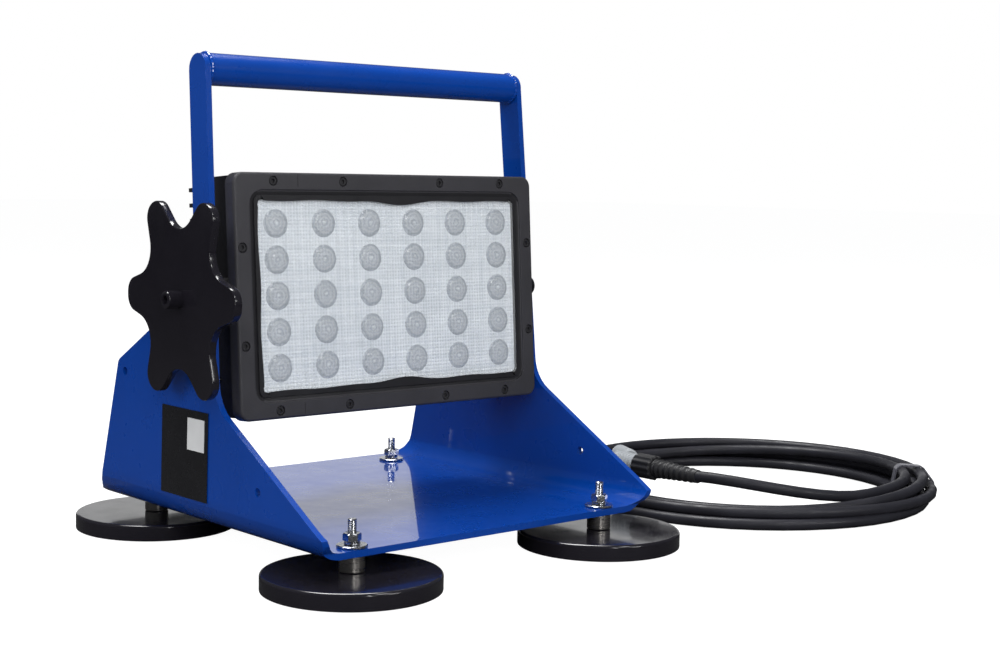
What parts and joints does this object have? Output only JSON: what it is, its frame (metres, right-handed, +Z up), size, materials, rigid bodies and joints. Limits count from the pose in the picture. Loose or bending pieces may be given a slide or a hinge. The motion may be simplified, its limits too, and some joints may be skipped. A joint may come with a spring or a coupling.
{
  "type": "work light",
  "caption": "Flood work light that tilts between the walls of a folded steel bracket with a handle bar, on round magnet feet, with a star clamping knob and a coiled power cord.",
  "frame": {"origin": "on the floor under the middle of the bounding box, measured without the cord", "axes": "+X right seen from the front, +Y to the back (the lamp faces -Y), +Z up"},
  "size_m": [0.708, 0.4088, 0.3623],
  "materials": {
    "blue_powder_coat": "gloss powder coat",
    "black_coated_aluminium": "satin black coating on cast aluminium",
    "gloss_black_enamel": "gloss enamel",
    "zinc_plated_steel": "bright zinc plate",
    "turned_steel": "turned, dull",
    "clear_lens": "clear, lightly prismatic",
    "reflector_white": "bright white",
    "board_white": "white solder mask",
    "ferrite": "sintered ceramic",
    "black_rubber": "matte",
    "cord_jacket": "satin rubber jacket",
    "grey_plastic": "moulded",
    "black_plastic": "moulded",
    "label_film": "printed film, left blank",
    "tie_film": "translucent film"
  },
  "bodies": {
    "bracket": {"bracket": "blue_powder_coat", "handle_tube": "blue_powder_coat", "label_plate": "label_film", "stop_screw": "zinc_plated_steel", "cord_clip": "black_plastic", "clip_screw": "zinc_plated_steel", "clip_nut": "zinc_plated_steel", "magnet_cup_front_left": "gloss_black_enamel", "magnet_core_front_left": "ferrite", "spacer_post_front_left": "turned_steel", "stud_front_left": "zinc_plated_steel", "washer_front_left": "zinc_plated_steel", "lock_washer_front_left": "zinc_plated_steel", "nut_front_left": "zinc_plated_steel", "magnet_cup_front_right": "gloss_black_enamel", "magnet_core_front_right": "ferrite", "spacer_post_front_right": "turned_steel", "stud_front_right": "zinc_plated_steel", "washer_front_right": "zinc_plated_steel", "lock_washer_front_right": "zinc_plated_steel", "nut_front_right": "zinc_plated_steel", "magnet_cup_rear_left": "gloss_black_enamel", "magnet_core_rear_left": "ferrite", "spacer_post_rear_left": "turned_steel", "stud_rear_left": "zinc_plated_steel", "washer_rear_left": "zinc_plated_steel", "lock_washer_rear_left": "zinc_plated_steel", "nut_rear_left": "zinc_plated_steel", "magnet_cup_rear_right": "gloss_black_enamel", "magnet_core_rear_right": "ferrite", "spacer_post_rear_right": "turned_steel", "stud_rear_right": "zinc_plated_steel", "washer_rear_right": "zinc_plated_steel", "lock_washer_rear_right": "zinc_plated_steel", "nut_rear_right": "zinc_plated_steel", "cord_tail": "cord_jacket", "cord_coil": "cord_jacket", "coil_tie": "tie_film", "plug_body": "grey_plastic", "plug_collar": "black_plastic", "plug_relief": "black_plastic", "plug_cap": "grey_plastic"},
    "lamp": {"bezel": "black_coated_aluminium", "lens": "clear_lens", "reflector_tray": "reflector_white", "led_board": "board_white", "led_driver": "grey_plastic", "bezel_gasket": "black_rubber", "lamp_housing": "black_coated_aluminium", "wiring_box": "black_coated_aluminium", "cable_gland": "black_plastic", "pivot_boss_left": "black_coated_aluminium", "pivot_boss_right": "black_coated_aluminium", "friction_disc_left": "black_rubber", "friction_disc_right": "black_rubber", "pivot_bolt_right": "gloss_black_enamel", "lamp_lead": "cord_jacket"},
    "knob": {"star_knob": "gloss_black_enamel", "knob_hub": "gloss_black_enamel", "knob_screw": "gloss_black_enamel"}
  },
  "joints": [
    {"name": "lamp_tilt", "type": "hinge", "parent": "bracket", "child": "lamp", "pos_m": [0.0023, 0.0012, 0.189], "axis": [-1, 0, 0], "range_deg": [-60, 90], "deforming": ["lamp_lead"]},
    {"name": "knob_turn", "type": "hinge", "parent": "bracket", "child": "knob", "pos_m": [-0.1657, 0.0012, 0.189], "axis": [1, 0, 0], "continuous": true}
  ]
}
